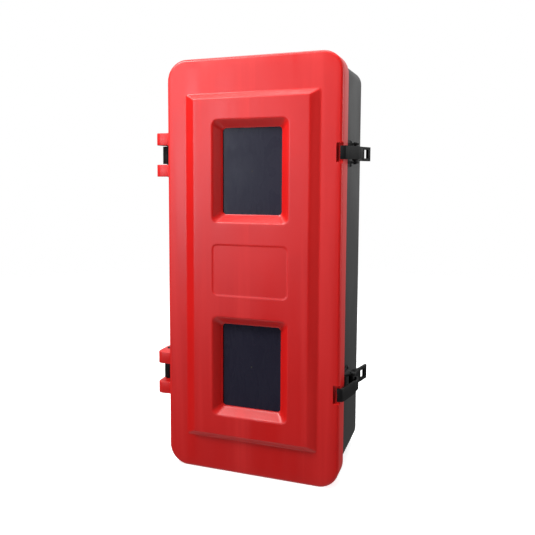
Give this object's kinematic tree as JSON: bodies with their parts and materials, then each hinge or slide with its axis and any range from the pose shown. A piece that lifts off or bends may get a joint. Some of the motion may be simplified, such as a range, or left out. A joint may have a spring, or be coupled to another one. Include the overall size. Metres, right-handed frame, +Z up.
{
  "type": "fire extinguisher cabinet",
  "caption": "Surface-mounted plastic cabinet for a portable fire extinguisher, with a windowed red door, a dark shell, pinned hinges and over-centre draw latches.",
  "frame": {"origin": "centre of the flat back face that lies on the wall", "axes": "+Z up, door faces -Y, +Y into the wall, hinges at -X and latches at +X"},
  "size_m": [0.3729, 0.2582, 0.756],
  "materials": {
    "red_plastic": "satin moulded, faint flow streaks",
    "black_plastic": "fine moulded grain",
    "latch_plastic": "satin glass-filled nylon",
    "smoked_glazing": "smoked, polished",
    "seal_rubber": "matte",
    "zinc_steel": "zinc plated",
    "black_steel": "blackened, satin"
  },
  "bodies": {
    "root": {"body_shell": "black_plastic", "base_rest": "seal_rubber", "upper_cradle": "black_plastic", "upper_latch_bracket": "latch_plastic", "upper_hinge_pin": "black_steel", "upper_latch_pivot_pin": "black_steel", "upper_bracket_screw_1": "black_steel", "upper_bracket_screw_2": "black_steel", "upper_bracket_screw_3": "black_steel", "upper_bracket_screw_4": "black_steel", "upper_cradle_screw_1": "zinc_steel", "upper_cradle_screw_2": "zinc_steel", "lower_cradle": "black_plastic", "lower_latch_bracket": "latch_plastic", "lower_hinge_pin": "black_steel", "lower_latch_pivot_pin": "black_steel", "lower_bracket_screw_1": "black_steel", "lower_bracket_screw_2": "black_steel", "lower_bracket_screw_3": "black_steel", "lower_bracket_screw_4": "black_steel", "lower_cradle_screw_1": "zinc_steel", "lower_cradle_screw_2": "zinc_steel", "wall_washer_1": "zinc_steel", "wall_washer_2": "zinc_steel", "wall_washer_3": "zinc_steel", "wall_washer_4": "zinc_steel"},
    "door": {"door_panel": "red_plastic", "door_seal": "seal_rubber", "upper_window_pane": "smoked_glazing", "upper_pane_retainer": "black_plastic", "upper_retainer_screw_1": "zinc_steel", "upper_retainer_screw_2": "zinc_steel", "upper_retainer_screw_3": "zinc_steel", "upper_retainer_screw_4": "zinc_steel", "lower_window_pane": "smoked_glazing", "lower_pane_retainer": "black_plastic", "lower_retainer_screw_1": "zinc_steel", "lower_retainer_screw_2": "zinc_steel", "lower_retainer_screw_3": "zinc_steel", "lower_retainer_screw_4": "zinc_steel"},
    "upper_lever": {"upper_latch_lever": "latch_plastic", "upper_latch_link_pin": "black_steel"},
    "upper_hook": {"upper_latch_hook": "latch_plastic"},
    "lower_lever": {"lower_latch_lever": "latch_plastic", "lower_latch_link_pin": "black_steel"},
    "lower_hook": {"lower_latch_hook": "latch_plastic"}
  },
  "joints": [
    {"name": "door_swing", "type": "hinge", "parent": "root", "child": "door", "pos_m": [-0.18, -0.2035, 0], "axis": [0, 0, -1], "range_deg": [0, 110]},
    {"name": "upper_lever_swing", "type": "hinge", "parent": "root", "child": "upper_lever", "pos_m": [0.167, -0.166, 0.208], "axis": [0, 0, -1], "range_deg": [0, 85]},
    {"name": "upper_hook_swing", "type": "hinge", "parent": "upper_lever", "child": "upper_hook", "pos_m": [0.166, -0.149, 0.208], "axis": [0, 0, 1], "range_deg": [0, 95]},
    {"name": "lower_lever_swing", "type": "hinge", "parent": "root", "child": "lower_lever", "pos_m": [0.167, -0.166, -0.208], "axis": [0, 0, -1], "range_deg": [0, 85]},
    {"name": "lower_hook_swing", "type": "hinge", "parent": "lower_lever", "child": "lower_hook", "pos_m": [0.166, -0.149, -0.208], "axis": [0, 0, 1], "range_deg": [0, 95]}
  ],
  "couplings": [
    {"joint": "upper_hook_swing", "follows": "upper_lever_swing", "ratio": 1.1},
    {"joint": "lower_hook_swing", "follows": "lower_lever_swing", "ratio": 1.1}
  ]
}
